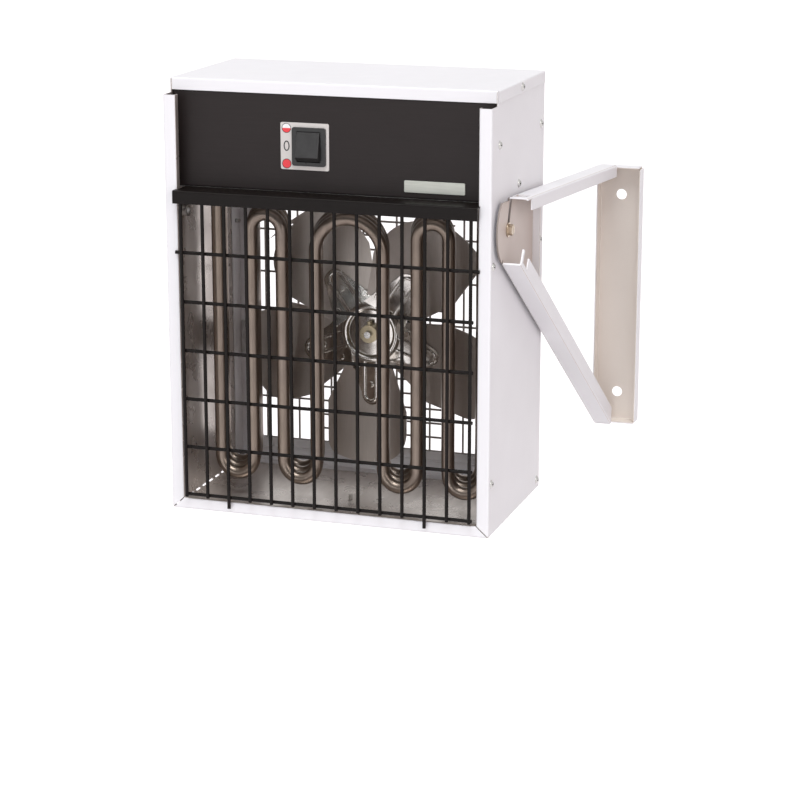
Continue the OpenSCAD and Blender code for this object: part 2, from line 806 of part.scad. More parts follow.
// The strap is joggled back to the rear panel's uprights
module motor_bracket() color("silver") {
  joggle = rear_y - strap_y - strap_t;
  run = 1.1 * joggle;
  foot_x = [inner_x + 2 * sheet, stile_w - sheet];
  z = fan_z - bridge_w / 2 - over - strap_h;
  difference() {
    translate([0, 0, z]) linear_extrude(strap_h) {
      for (side = [0, 1]) translate([side * casing_w, 0]) mirror([side, 0]) {
        translate([foot_x[0], rear_y - strap_t]) square([foot_x[1] - foot_x[0], strap_t]);
        polygon([
          [foot_x[1], rear_y], [foot_x[1], rear_y - strap_t],
          [foot_x[1] + run, strap_y], [foot_x[1] + run, strap_y + strap_t]]);
        translate([foot_x[1] + run, strap_y]) square([mid_x - foot_x[1] - run, strap_t]);
      }
    }
    at_shaft(strap_y - over) bar_y(rotor_r + 1, strap_t + over + slide);
    at_shaft(strap_y - over) for (x = [-1, 1]) translate([x * bridge_x(), 0, strap_screw_z()])
      bar_y(motor_screw_d / 2, strap_t + joggle + over);
  }
}

// A screw with its nut, through parts that are together `grip` thick
module motor_screw(grip) {
  $fn = 24;
  head_h = 0.6 * motor_screw_d;
  nut_h = 0.6 * motor_screw_d;
  bar_y(motor_screw_d / 2, grip + nut_h);
  translate([0, -head_h, 0]) bar_y(0.9 * motor_screw_d, head_h);
  translate([0, grip, 0]) rotate([-90, 0, 0]) cylinder(r = 0.95 * motor_screw_d, h = nut_h, $fn = 6);
}

module motor_screws() color("silver") at_shaft(core_y) for (x = [-1, 1]) {
  translate([x * bridge_x(), -bridge_rise, 0]) motor_screw(core_t + 2 * bridge_rise);
  translate([x * bridge_x(), 0, strap_screw_z()]) motor_screw(core_t + strap_t);
}

module motor_shaft() color("silver") at_shaft(fan_y - shaft_lead)
  bar_y(shaft_d / 2, rear_y - sheet - fan_y + shaft_lead);

// The laminated rotor between its two end rings
module rotor_core() color("gray") at_shaft(core_y - ring_t) difference() {
  union() {
    bar_y(0.87 * rotor_r, core_t + 2 * ring_t, $fn = 48);
    translate([0, ring_t, 0]) bar_y(rotor_r, core_t, $fn = 48);
  }
  translate([0, -over, 0]) bar_y(shaft_d / 2, core_t + 2 * (ring_t + over));
}

// Fan

module each_blade() {
  for (i = [0:blade_count - 1]) rotate([0, -blade_first - i * 360 / blade_count, 0]) children();
}

// A cambered sheet along +X, pitched about X: the leading side lies further back
module camber(depth, t, len) {
  rotate([blade_pitch, 0, 0]) translate([0, -camber_r, 0]) rotate([0, 90, 0]) difference() {
    cylinder(r = camber_r - depth, h = len, $fn = 96);
    translate([0, 0, -over]) cylinder(r = camber_r - depth - t, h = len + 2 * over, $fn = 96);
  }
}

// What a round corner leaves outside, its arc's middle at the origin
module spandrel(r) {
  difference() {
    square(r + over);
    circle(r, $fn = 48);
  }
}

module blade_outline() {
  difference() {
    intersection() {
      circle(fan_r, $fn = 96);
      translate([root_r, -lead_w]) square([fan_r, lead_w + trail_w]);
    }
    root_cut(lead_w, -1, root_lead_w);
    root_cut(trail_w, 1, root_trail_w);
    translate([fan_r - lead_tip - lead_corner, lead_corner - lead_w]) mirror([0, 1]) spandrel(lead_corner);
    translate([fan_r - trail_tip - trail_corner, trail_w - trail_corner]) spandrel(trail_corner);
  }
}

// What a blade's side narrows by towards its root
module root_cut(w, side, root_w) {
  polygon([
    [root_r - over, side * (w + over)],
    [full_r, side * (w + over)],
    [full_r, side * w],
    [root_r - over, side * root_w]]);
}

// The places of a blade's rivets, along it and across it
rivets = [[rivet_in, -rivet_half], [rivet_in, rivet_half], [rivet_out, 0]];

module rivet_axes() {
  for (p = rivets) rotate([blade_pitch, 0, 0]) translate([0, -camber_r, 0])
    rotate([asin(p[1] / camber_r), 0, 0]) translate([p[0], camber_r, 0]) children();
}

module fan_blades() color("silver") at_shaft(fan_y) each_blade() difference() {
  intersection() {
    translate([0, -fan_r / 2, 0]) along_y(fan_r) blade_outline();
    camber(0, blade_t, fan_r + over);
  }
  rivet_axes() translate([0, -hub_len, 0]) bar_y(rivet_r, 2 * hub_len, $fn = 24);
}

module arm_outline() {
  start = 0.8 * spider_r;
  polygon([[start, -arm_root_w], [arm_r, -arm_tip_w], [arm_r, arm_tip_w], [start, arm_root_w]]);
  translate([arm_r, 0]) circle(arm_tip_w);
}

// The raised U of an arm: two beads joined by a half ring, standing on the arm's front
module arm_rib() {
  half = arm_tip_w - rib_edge;
  rotate([blade_pitch, 0, 0]) translate([0, -blade_t - spider_t + 0.3, 0]) {
    for (z = [-half, half]) translate([spider_r - 2, 0, z]) bar_x(rib_r, arm_r - spider_r + 2, $fn = 16);
    translate([arm_r, 0, 0]) rotate([90, 0, 0]) rotate([0, 0, -90])
      rotate_extrude(angle = 180, $fn = 24) translate([half, 0]) circle(rib_r, $fn = 16);
  }
}

module fan_spider() color("white") at_shaft(fan_y) {
  bead = 2 * rib_r;
  ring = spider_r - bead;
  difference() {
    union() {
      // The hub plate with its raised ring
      translate([0, -blade_t - spider_t, 0]) bar_y(spider_r, spider_t, $fn = 48);
      translate([0, -blade_t - spider_t, 0]) rotate([90, 0, 0])
        rotate_extrude($fn = 48) intersection() {
          translate([ring, 0]) circle(bead, $fn = 24);
          translate([0, -slide]) square([spider_r, 2 * bead]);
        }
      each_blade() intersection() {
        translate([0, -fan_r / 2, 0]) along_y(fan_r) arm_outline();
        camber(blade_t, spider_t, arm_r + 2 * arm_tip_w);
      }
      each_blade() difference() {
        arm_rib();
        camber(-over, blade_t + over, fan_r);
      }
    }
    translate([0, -hub_len, 0]) bar_y(hub_r, 2 * hub_len);
    each_blade() rivet_axes() translate([0, -hub_len, 0]) bar_y(rivet_r, 2 * hub_len, $fn = 24);
  }
}

module fan_hub() color("goldenrod") at_shaft(fan_y) {
  plate_y = -blade_t - spider_t;
  front = 0.56 * hub_len;
  collar_t = blade_t + spider_t - slide;
  difference() {
    union() {
      translate([0, plate_y - front, 0]) bar_y(hub_r, hub_len);
      translate([0, plate_y + spider_t, 0]) bar_y(1.5 * hub_r, collar_t);
      // The head of the set screw
      translate([0, plate_y - front / 2, hub_r - over]) cylinder(d = 0.4 * hub_len, h = hub_r / 2, $fn = 6);
    }
    translate([0, plate_y - front - over, 0]) bar_y(shaft_d / 2, hub_len + 2 * over);
  }
}

module fan_rivets() color("silver") at_shaft(fan_y) each_blade() rivet_axes() {
  front = -blade_t - spider_t;
  head = 1.9 * rivet_r;
  // The head's rim rests on the hollow side of the cambered arm
  rim = head * head / (camber_r + front) / 2;
  translate([0, front - rim, 0]) {
    bar_y(rivet_r, rim - front, $fn = 24);
    intersection() {
      sphere(head, $fn = 16);
      translate([0, -head / 2, 0]) bar_y(head, head / 2, $fn = 16);
    }
  }
  bar_y(1.6 * rivet_r, rivet_r / 2, $fn = 16);
}

// Rear panel, guard and cable gland

// A sheet of the back with its two side flanges, between two heights
module rear_sheet(low_z, top_z) {
  flange = fix_flange + 4;
  translate([inner_x, casing_d, low_z]) linear_extrude(top_z - low_z)
    mirror([0, 1]) channel(casing_w - 2 * inner_x, flange, flange, sheet, bend_r);
}

module rear_panel() color("white") difference() {
  union() {
    rear_sheet(sheet + snug, seam_z - slide);
    // The crease along the ledge
    translate([stile_w, rear_y, 0.64 * ledge_h]) bar_x(0.9 * sheet, casing_w - 2 * stile_w, $fn = 16);
  }
  translate([stile_w, rear_y - over, ledge_h]) along_y(sheet + 2 * over)
    rounded(casing_w - 2 * stile_w, inlet_z - ledge_h, 3);
  both_sides() for (p = rear_screws) screw_hole(p);
}

// The back of the control box, a sheet of its own above the seam
module rear_cover() color("white") difference() {
  rear_sheet(seam_z, lid_low - 2 * slide);
  both_sides() for (p = rear_screws) screw_hole(p);
  translate([gland_at()[0], rear_y - over, gland_at()[1]]) bar_y(gland_r() + snug, sheet + 2 * over);
}

// The cable gland's distance from the left side and its height, and the radius of its thread
function gland_at() = [casing_w - gland_inset, box_z + gland_rise];
function gland_r() = 0.8 * cable_d;

module rear_guard() color("silver") {
  $fn = 16;
  level_step = (inlet_z - ledge_h) / (guard_levels - 1);
  overhang = 0.4 * stile_w;
  level_y = casing_d + guard_d / 2;
  upright_y = level_y + guard_d + weld;
  for (i = [0:guard_uprights - 1])
    translate([guard_left + i * guard_upright_pitch, upright_y, ledge_h - guard_d])
      cylinder(d = guard_d, h = inlet_z - ledge_h + 2 * guard_d);
  for (i = [0:guard_levels - 1]) translate([stile_w - overhang, level_y, ledge_h + i * level_step])
    bar_x(guard_d / 2, casing_w - 2 * (stile_w - overhang));
  // Short wires behind the blades' middle, welded to the inner uprights
  for (i = [0:guard_levels - 2], k = [1:short_wires])
    translate([mid_x - short_len / 2, level_y, ledge_h + (i + k / (short_wires + 1)) * level_step])
      bar_x(guard_d / 2, short_len);
}

module cable_gland() color("dimgray") translate([gland_at()[0], 0, gland_at()[1]]) difference() {
  r = gland_r();
  nut_r = 1.375 * r;
  nut_h = cable_d * 0.4;
  cap_h = cable_d * 0.6;
  start = rear_y - 2 * nut_h;
  length = 2 * (nut_h + cap_h) + sheet;
  union() {
    translate([0, start, 0]) bar_y(r, length);
    translate([0, rear_y - nut_h, 0]) rotate([-90, 0, 0]) cylinder(r = nut_r, h = nut_h, $fn = 6);
    translate([0, casing_d, 0]) rotate([-90, 0, 0]) cylinder(r = nut_r, h = cap_h, $fn = 6);
  }
  translate([0, start - over, 0]) bar_y(cable_d / 2, length + 2 * over);
}

// Inside the control box

module terminal_block() color("ivory")
  translate([casing_w - block_inset, casing_d - block_back, box_z]) difference() {
    cube([(pole_count + 0.2) * pole_pitch, block_d, block_h]);
    for (i = [0:pole_count - 1]) translate([(i + 0.6) * pole_pitch, block_d / 2, 0.6 * block_h])
      cylinder(d = 0.6 * pole_pitch, h = block_h);
  }

module limit_thermostat() color("black")
  translate([mid_x + cutout_d / 2, row_front + 1.2 * row_pitch, box_z]) {
  cylinder(d = cutout_d, h = cutout_d / 2);
  translate([-0.75 * cutout_d, -0.4 * cutout_d, 0]) cube([1.5 * cutout_d, 0.8 * cutout_d, sheet]);
  for (x = [-1, 1]) translate([(x * 0.3 - 0.025) * cutout_d, -0.2 * cutout_d, cutout_d / 2])
    cube([0.05 * cutout_d, 0.4 * cutout_d, cutout_d / 2]);
}

// Screws and the pivot

module side_screws() color("silver") both_sides() {
  for (p = grille_screws) translate([0, p[0], p[1]]) sheet_screw();
  for (p = [fascia_screw, floor_screw_yz]) translate([0, p[0], p[1]]) sheet_screw();
}

module back_edge_screws() color("silver") both_sides()
  for (p = rear_screws) translate([0, p[0], p[1]]) sheet_screw();

module lid_screws() color("silver") both_sides()
  translate([-lid_t - snug, lid_screw[0], lid_screw[1]]) sheet_screw();

module floor_screw() color("silver")
  translate([floor_screw_x, floor_screw_y, 0]) rotate([0, -90, 0]) sheet_screw();

module pivot_nuts() color("silver") both_sides() translate([sheet, pivot_y, pivot_z]) difference() {
  bar_x(pivot_d * 0.85, 5);
  translate([-over, 0, 0]) bar_x(pivot_d / 2, 5 + 2 * over);
}

module pivot_washer() color("dimgray") translate([casing_w, pivot_y, pivot_z]) difference() {
  bar_x(10, washer_t);
  translate([-over, 0, 0]) bar_x(pivot_d / 2, washer_t + 2 * over);
}

module pivot_screw() color("goldenrod") translate([0, pivot_y, pivot_z]) {
  head_x = bracket_x + bracket_t + slide;
  translate([casing_w - 8, 0, 0]) bar_x(pivot_d / 2, head_x - casing_w + 8);
  translate([head_x, 0, 0]) bar_x(pivot_d, 1);
  difference() {
    translate([head_x + 1, 0, 0]) rotate([0, 90, 0]) cylinder(d = pivot_d * 1.6, h = 3.4, $fn = 6);
    translate([head_x + 3.4, -0.6, -pivot_d]) cube([2, 1.2, 2 * pivot_d]);
  }
}

// Wall bracket

// The lower arm's web is tangent to the pivot plate's round front and meets the wall plate's lower edge.
// Both webs end a little outside the tabs that lie on the wall plate.
seat_step = 0.3;
lower_dy = plate_front - pivot_y;
lower_dz = pivot_z - plate_low + bracket_t + seat_step;
lower_reach = sqrt(lower_dy * lower_dy + lower_dz * lower_dz);
lower_angle = atan2(lower_dz, lower_dy) - asin(pivot_plate_r / lower_reach);
lower_y = pivot_y - pivot_plate_r * sin(lower_angle);
lower_z = pivot_z - pivot_plate_r * cos(lower_angle);
upper_angle = atan((arm_rise - wall_plate_rise - bracket_t - seat_step) / (plate_front - pivot_y));

module pivot_outline() {
  rear = pivot_y + pivot_plate_d;
  top = pivot_z + arm_rise;
  difference() {
    union() {
      translate([pivot_y, pivot_z]) circle(pivot_plate_r, $fn = 64);
      polygon([
        [pivot_y, top],
        [rear, top - pivot_plate_d * tan(upper_angle)],
        [rear, lower_z - (rear - lower_y) * tan(lower_angle)],
        [lower_y, lower_z]]);
    }
    // The plate stops just inside the bends of the two arms
    translate([pivot_y, top]) rotate(-upper_angle) translate([-pivot_plate_r, -bracket_r - over])
      square([pivot_plate_r + lower_reach, pivot_plate_r]);
    translate([lower_y, lower_z]) rotate(-lower_angle) translate([0, -over])
      square([lower_reach, bracket_r + 2 * over]);
  }
}

// The slot that hooks onto the pivot screw: a round seat below two sides that flare a little outwards
module pivot_slot(r) {
  slant = 20;
  flare = 0.7;
  neck = r - run_fit;
  len = 2 * arm_rise;
  translate([pivot_y, pivot_z]) {
    circle(r);
    rotate(-slant) polygon([[-neck, 0], [neck, 0], [neck + flare, len], [-neck - flare, len]]);
  }
}

module support_arm() color("white") {
  r = bracket_r;
  upper_start = 4;
  stiff_y = pivot_y + pivot_plate_d;
  upper_len = plate_front - pivot_y + wall_flange;
  difference() {
    union() {
      // Pivot plate
      translate([bracket_x, 0, 0]) along_x(bracket_t) difference() {
        pivot_outline();
        pivot_slot(pivot_d / 2 + run_fit);
      }
      // Upper arm, its lips hanging down
      difference() {
        translate([bracket_x, pivot_y, pivot_z + arm_rise]) rotate([-upper_angle, 0, 0])
          translate([0, upper_start, 0]) mirror([0, 0, 1]) along_y(upper_len)
            channel(arm_w, upper_lip, upper_lip, bracket_t, r);
        // The lips' front ends are cut back, and a slot frees the bend behind the pivot slot
        translate([bracket_x + bracket_t + over, pivot_y - over, pivot_z])
          cube([arm_w, 18, arm_rise - bracket_t - over]);
        translate([bracket_x + r + over, pivot_y + 11, pivot_z + arm_rise - 4]) cube([11, 14, 8]);
        translate([bracket_x - over, 0, 0]) along_x(bracket_t + 2 * over) pivot_slot(pivot_d / 2 + 3 * snug);
      }
      // Lower arm, its lips standing up
      difference() {
        translate([bracket_x, lower_y, lower_z]) rotate([-lower_angle, 0, 0]) translate([0, r, 0])
          along_y(lower_reach) channel(arm_w, lower_lip, lower_lip, bracket_t, r);
        translate([bracket_x + bracket_t + over, lower_y, lower_z - 12])
          rotate([-lower_angle, 0, 0]) translate([0, -over, bracket_t + 12.5]) cube([arm_w, 16, lower_lip]);
      }
      // The flange along the pivot plate's rear edge
      intersection() {
        translate([bracket_x, stiff_y, plate_low]) linear_extrude(wall_plate_h + arm_rise)
          mirror([0, 1]) angle_section(stiff_w, r + over, bracket_t, r);
        translate([bracket_x - over, 0, 0]) along_x(stiff_w + 2 * over) polygon([
          [stiff_y - 2 * r, pivot_z + arm_rise - pivot_plate_d * tan(upper_angle) - upper_lip],
          [stiff_y + over, pivot_z + arm_rise - pivot_plate_d * tan(upper_angle) - upper_lip],
          [stiff_y + over, stiff_low() - r],
          [stiff_y - 2 * r, stiff_low()]]);
      }
    }
    // Both arms end at the wall plate's front
    translate([bracket_x - over, plate_front, plate_low - wall_flange])
      cube([arm_w + 2 * over, 2 * wall_flange + arm_w, wall_plate_h + 4 * wall_flange]);
    // The rear flange's bend is stitch cut
    for (i = [0:8]) translate([bracket_x + r / 2, stiff_y - r / 2, stiff_low() + 5 + i * 5.2])
      rotate([0, 0, 45]) cube([6 * r, 1.4, 2.2], center = true);
  }
  // The webs' ends lie on the front edges of the wall plate's upper and lower flanges
  tab = over + 2 * bracket_t;
  for (z = [plate_top, plate_low - bracket_t])
    translate([bracket_x + r + over, plate_front - over, z]) cube([arm_w - 2 * (r + over), tab, bracket_t]);
}

// The height where the pivot plate's rear edge meets the lower arm's lips
function stiff_low() = lower_z - (pivot_y + pivot_plate_d - lower_y) * tan(lower_angle)
  + lower_lip / cos(lower_angle);

module wall_plate() color("white") difference() {
  translate([plate_x, wall_y, plate_low]) rotate([90, 0, 0])
    tray(wall_plate_w, wall_plate_h, wall_flange, bracket_t, bracket_r);
  for (z = [-hole_spacing / 2, hole_spacing / 2])
    translate([row_x, wall_y - bracket_t - over, row_z + z]) bar_y(hole_d / 2, bracket_t + 2 * over);
}

// One line for each named piece

placed() wall_plate();
placed() support_arm();
placed() casing();
placed() top_lid();
placed() control_fascia();
placed() switch_label();
placed() name_plate();
placed() switch_housing();
placed() control_box_floor();
placed() grille_rail();
placed() front_grille();
placed() heating_element(0);  // heating_element_front
placed() heating_element(1);  // heating_element_middle
placed() heating_element(2);  // heating_element_rear
placed() element_nuts();
placed() element_terminals();
placed() motor_stator();
placed() motor_coil();
placed() motor_bearing_front();
placed() motor_bearing_rear();
placed() motor_bracket();
placed() motor_screws();
placed() rear_panel();
placed() rear_cover();
placed() rear_guard();
placed() terminal_block();
placed() limit_thermostat();
placed() cable_gland();
placed() side_screws();
placed() back_edge_screws();
placed() lid_screws();
placed() floor_screw();
placed() pivot_nuts();
placed() pivot_washer();
placed() pivot_screw();
placed() switch_rocker();
placed() motor_shaft();
placed() rotor_core();
placed() fan_hub();
placed() fan_spider();
placed() fan_blades();
placed() fan_rivets();
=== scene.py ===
"""Looks of a wall mounted fan heater with a folded sheet bracket.

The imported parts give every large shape. This script adds the camera, the light, the floor, a procedural
material for each part, the rear panel's folded lip and the printed marks beside the switch. Lengths are in
metres.
"""

import json
import math

import bpy
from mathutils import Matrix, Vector


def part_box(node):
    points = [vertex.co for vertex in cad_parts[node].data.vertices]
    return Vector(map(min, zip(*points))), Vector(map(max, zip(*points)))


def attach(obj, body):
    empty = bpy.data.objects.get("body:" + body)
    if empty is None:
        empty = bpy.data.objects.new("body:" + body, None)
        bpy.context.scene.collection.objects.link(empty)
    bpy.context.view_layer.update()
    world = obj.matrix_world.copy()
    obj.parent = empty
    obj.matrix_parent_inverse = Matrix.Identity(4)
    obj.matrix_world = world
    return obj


# Camera, fitted to the photograph's edges and screws
CAMERA_AT = (0.5107, -2.2114, 0.4895)
CAMERA_YAW = 18.30
CAMERA_PITCH = 14.74
LENS_MM = 108.96
SENSOR_MM = 36

# Light
AMBIENT = 0.44
AMBIENT_TINT = (1, 0.93, 0.94, 1)
KEY_FROM = (0.07, -0.38, 0.92)
KEY_LEVEL = 2.0
KEY_TINT = (0.93, 0.975, 1)
FRONT_FROM = (-0.06, -1.0, 0.10)
FRONT_LEVEL = 1.12
FILL_FROM = (0.80, -0.45, 0.35)
FILL_LEVEL = 0.52
FILL_TINT = (1, 0.955, 0.96)
SUN_SPREAD = 34
FLOOR_DROP = 0.9
FLOOR_RADIUS = 18
FLOOR_LIFT = 0.47
CARD_RADIUS = 4.5
CARD_HALF_ANGLE = 38
CARD_LOW = -0.1
CARD_HIGH = 2.0

# Powder coat with painted shade on its edges and in its corners, and the painted shade round the screws
PEEL_GRAIN = 1400
PEEL_DEPTH = 0.000006
COAT_EDGE = 0.0006
COAT_EDGE_SHADE = 0.0007
COAT_CREVICE = 0.0025
SCREW_CREVICE = 0.0022

# The folded lip along the rear panel's foot
LIP_DEPTH = 0.010
LIP_RISE = 0.005
LIP_THICK = 0.0008
LIP_BEND = 0.0016
LIP_END = 0.004
LIP_GAP = 0.0001
BEND_STEPS = 6

# Half the thickness of the sheets, which tells their inner faces from their outer ones
HALF_SHEET = 0.0005
HALF_PLATE = 0.00075

# How far past the bracket's sheet along the casing the cut faces that get painted shadow lines are looked
# for
NEAR_CASING = 0.0001

# How far a face turns towards an axis, as the share of its normal along it
CUT_FACE = 0.3
BROAD_FACE = 0.5
DOWN_FACE = -0.9

# Printed marks beside the switch
MARK_RADIUS = 0.0041
MARK_LINE = 0.0005
MARK_PITCH = 0.0148
MARK_THICK = 0.00008
FILL_LIFT = 0.8
ZERO_WIDTH = 0.0053
ZERO_HEIGHT = 0.0087
ZERO_LINE = 0.0010

# Steps of the arcs that round the floor, the card and the marks
ARC_STEPS = 48


def set_camera():
    data = bpy.data.cameras.new("camera")
    data.sensor_width = SENSOR_MM
    data.lens = LENS_MM
    data.clip_end = 4 * FLOOR_RADIUS
    camera = bpy.data.objects.new("camera", data)
    camera.location = CAMERA_AT
    camera.rotation_euler = (math.radians(90 - CAMERA_PITCH), 0, math.radians(CAMERA_YAW))
    bpy.context.collection.objects.link(camera)
    bpy.context.scene.camera = camera


def add_sun(name, direction, level, tint):
    data = bpy.data.lights.new(name, "SUN")
    data.energy = level
    data.color = tint
    data.angle = math.radians(SUN_SPREAD)
    sun = bpy.data.objects.new(name, data)
    sun.rotation_euler = Vector(direction).to_track_quat("Z", "Y").to_euler()
    bpy.context.collection.objects.link(sun)


def seen_directly(tree):
    """1 for camera, glossy and transmission rays, which show the white background, and 0 for others."""
    path = tree.nodes.new("ShaderNodeLightPath")
    glossy = link_math(tree, "MAXIMUM", path.outputs["Is Camera Ray"], path.outputs["Is Glossy Ray"])
    return link_math(tree, "MAXIMUM", glossy, path.outputs["Is Transmission Ray"])


def set_world():
    world = bpy.data.worlds.new("studio")
    bpy.context.scene.world = world
    world.use_nodes = True
    tree = world.node_tree
    white = tree.nodes["Background"]
    white.inputs["Color"].default_value = (1, 1, 1, 1)
    dim = tree.nodes.new("ShaderNodeBackground")
    dim.inputs["Color"].default_value = AMBIENT_TINT
    dim.inputs["Strength"].default_value = AMBIENT
    mix = tree.nodes.new("ShaderNodeMixShader")
    tree.links.new(seen_directly(tree), mix.inputs[0])
    tree.links.new(dim.outputs[0], mix.inputs[1])
    tree.links.new(white.outputs[0], mix.inputs[2])
    tree.links.new(mix.outputs[0], tree.nodes["World Output"].inputs["Surface"])


def add_floor():
    low = min(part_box(name)[0].z for name in frame["nodes"])
    points = [
        (FLOOR_RADIUS * math.cos(a), FLOOR_RADIUS * math.sin(a), low - FLOOR_DROP)
        for a in (2 * math.pi * i / ARC_STEPS for i in range(ARC_STEPS))
    ]
    floor = add_mesh("floor", points, [tuple(range(ARC_STEPS))], floor_white())


def add_dark_card():
    """A curved dark card in front, which only gloss sees, so that polished metal keeps its contrast."""
    angles = [math.radians(-90 + CARD_HALF_ANGLE * (2 * i / ARC_STEPS - 1)) for i in range(ARC_STEPS + 1)]
    points = [
        (CARD_RADIUS * math.cos(a), CARD_RADIUS * math.sin(a), height)
        for height in (CARD_LOW, CARD_HIGH) for a in angles
    ]
    above = ARC_STEPS + 1
    faces = [(i, i + 1, above + i + 1, above + i) for i in range(ARC_STEPS)]
    card = add_mesh("dark_card", points, faces, card_black())
    card.visible_camera = card.visible_diffuse = card.visible_shadow = card.visible_transmission = False


# Node helpers. Every texture is placed by Object coordinates, so it rides with its piece.


def add_node(tree, kind, **inputs):
    node = tree.nodes.new(kind)
    for name, value in inputs.items():
        socket = node.inputs[name.replace("_", " ")]
        if isinstance(value, bpy.types.NodeSocket):
            tree.links.new(value, socket)
        else:
            socket.default_value = value
    return node


def link_math(tree, operation, first, second):
    node = tree.nodes.new("ShaderNodeMath")
    node.operation = operation
    for socket, value in zip(node.inputs, (first, second)):
        if isinstance(value, bpy.types.NodeSocket):
            tree.links.new(value, socket)
        else:
            socket.default_value = value
    return node.outputs[0]


def noise(tree, scale, stretch=(1, 1, 1), detail=3.0):
    """Noise with `scale` features a metre, drawn out along the axes whose stretch is small."""
    place = tree.nodes.new("ShaderNodeTexCoord")
    mapping = add_node(tree, "ShaderNodeMapping", Vector=place.outputs["Object"], Scale=stretch)
    return add_node(
        tree, "ShaderNodeTexNoise", Vector=mapping.outputs[0], Scale=scale, Detail=detail
    ).outputs["Fac"]


def spread(tree, value, low, high, start=0.3, end=0.7):
    node = add_node(
        tree, "ShaderNodeMapRange", Value=value, From_Min=start, From_Max=end, To_Min=low, To_Max=high
    )
    return node.outputs["Result"]


def blend_colours(tree, factor, first, second):
    node = tree.nodes.new("ShaderNodeMix")
    node.data_type = "RGBA"
    tree.links.new(factor, node.inputs["Factor"])
    for socket, value in ((node.inputs[6], first), (node.inputs[7], second)):
        if isinstance(value, bpy.types.NodeSocket):
            tree.links.new(value, socket)
        else:
            socket.default_value = (*value, 1)
    return node.outputs[2]


def faint(tree, mask, most):
    """A mask that reaches only `most`."""
    return spread(tree, mask, 0, most, 0, 1)


def inside_box(tree, low, high):
    """1 between two corners of a box, and 0 outside it."""
    low, high = Vector(low), Vector(high)
    place = tree.nodes.new("ShaderNodeTexCoord")
    offset = tree.nodes.new("ShaderNodeVectorMath")
    offset.operation = "SUBTRACT"
    tree.links.new(place.outputs["Object"], offset.inputs[0])
    offset.inputs[1].default_value = (low + high) / 2
    size = tree.nodes.new("ShaderNodeVectorMath")
    size.operation = "ABSOLUTE"
    tree.links.new(offset.outputs[0], size.inputs[0])
    axes = tree.nodes.new("ShaderNodeSeparateXYZ")
    tree.links.new(size.outputs[0], axes.inputs[0])
    within = [
        link_math(tree, "LESS_THAN", axes.outputs[i], (high[i] - low[i]) / 2) for i in range(3)
    ]
    return link_math(tree, "MINIMUM", within[0], link_math(tree, "MINIMUM", within[1], within[2]))


def crevices(tree, reach):
    """1 in narrow corners and 0 on open faces."""
    open_sky = add_node(tree, "ShaderNodeAmbientOcclusion", Distance=reach)
    open_sky.samples = 8
    return spread(tree, open_sky.outputs["AO"], 1, 0, start=0.35, end=0.85)


def sharp_edges(tree, radius):
    """1 on sharp outer edges and 0 on flat faces."""
    round_normal = add_node(tree, "ShaderNodeBevel", Radius=radius)
    geometry = tree.nodes.new("ShaderNodeNewGeometry")
    dot = tree.nodes.new("ShaderNodeVectorMath")
    dot.operation = "DOT_PRODUCT"
    tree.links.new(round_normal.outputs[0], dot.inputs[0])
    tree.links.new(geometry.outputs["Normal"], dot.inputs[1])
    return spread(tree, dot.outputs["Value"], 1, 0, start=0.75, end=0.97)


class Finish:
    """A material in the making, with its tree and its shader."""

    def __init__(self, name, metallic=0.0, specular=0.5):
        self.material = bpy.data.materials.new(name)
        self.material.use_nodes = True
        self.tree = self.material.node_tree
        self.shader = self.tree.nodes["Principled BSDF"]
        self.shader.inputs["Metallic"].default_value = metallic
        self.shader.inputs["Specular IOR Level"].default_value = specular

    def colour(self, first, second, factor):
        mixed = blend_colours(self.tree, factor, first, second)
        self.tree.links.new(mixed, self.shader.inputs["Base Color"])

    def recolour(self, over, factor):
        """Lays the colour `over` on what the shader already has."""
        link = self.shader.inputs["Base Color"].links[0]
        mixed = blend_colours(self.tree, factor, link.from_socket, over)
        self.tree.links.new(mixed, self.shader.inputs["Base Color"])

    def rough(self, low, high, factor):
        self.tree.links.new(spread(self.tree, factor, low, high), self.shader.inputs["Roughness"])

    def relief(self, height, depth, edge=0.0):
        """Bump of the given depth on edges softened by the radius `edge`."""
        bump = add_node(self.tree, "ShaderNodeBump", Height=height, Distance=depth)
        if edge:
            soft = add_node(self.tree, "ShaderNodeBevel", Radius=edge)
            self.tree.links.new(soft.outputs[0], bump.inputs["Normal"])
        self.tree.links.new(bump.outputs[0], self.shader.inputs["Normal"])


# Materials, one function each


def floor_white():
    finish = Finish("floor_white", specular=0.2)
    tree = finish.tree
    finish.colour((0.70, 0.67, 0.675), (0.72, 0.69, 0.695), noise(tree, 3))
    finish.shader.inputs["Roughness"].default_value = 0.7
    finish.shader.inputs["Emission Color"].default_value = (1, 1, 1, 1)
    lift = link_math(tree, "MULTIPLY", seen_directly(tree), FLOOR_LIFT)
    tree.links.new(lift, finish.shader.inputs["Emission Strength"])
    return finish.material


def coat(name):
    """White powder coat with painted shade on sharp edges and in narrow corners, still without its orange
    peel.
    """
    finish = Finish(name)
    tree = finish.tree
    finish.colour((0.79, 0.775, 0.79), (0.83, 0.815, 0.835), noise(tree, 9))
    # Painted shade along the sharp folded edges
    finish.recolour((0.66, 0.63, 0.61), faint(tree, sharp_edges(tree, COAT_EDGE_SHADE), 0.35))
    # Painted shade in narrow corners, such as under the lid's edge
    finish.recolour((0.50, 0.45, 0.42), faint(tree, crevices(tree, COAT_CREVICE), 0.5))
    return finish


def orange_peel(finish, where=1.0):
    """The fine relief of powder coat where `where` is 1."""
    peel = link_math(finish.tree, "MULTIPLY", noise(finish.tree, PEEL_GRAIN, detail=1), where)
    finish.relief(peel, PEEL_DEPTH, edge=COAT_EDGE)


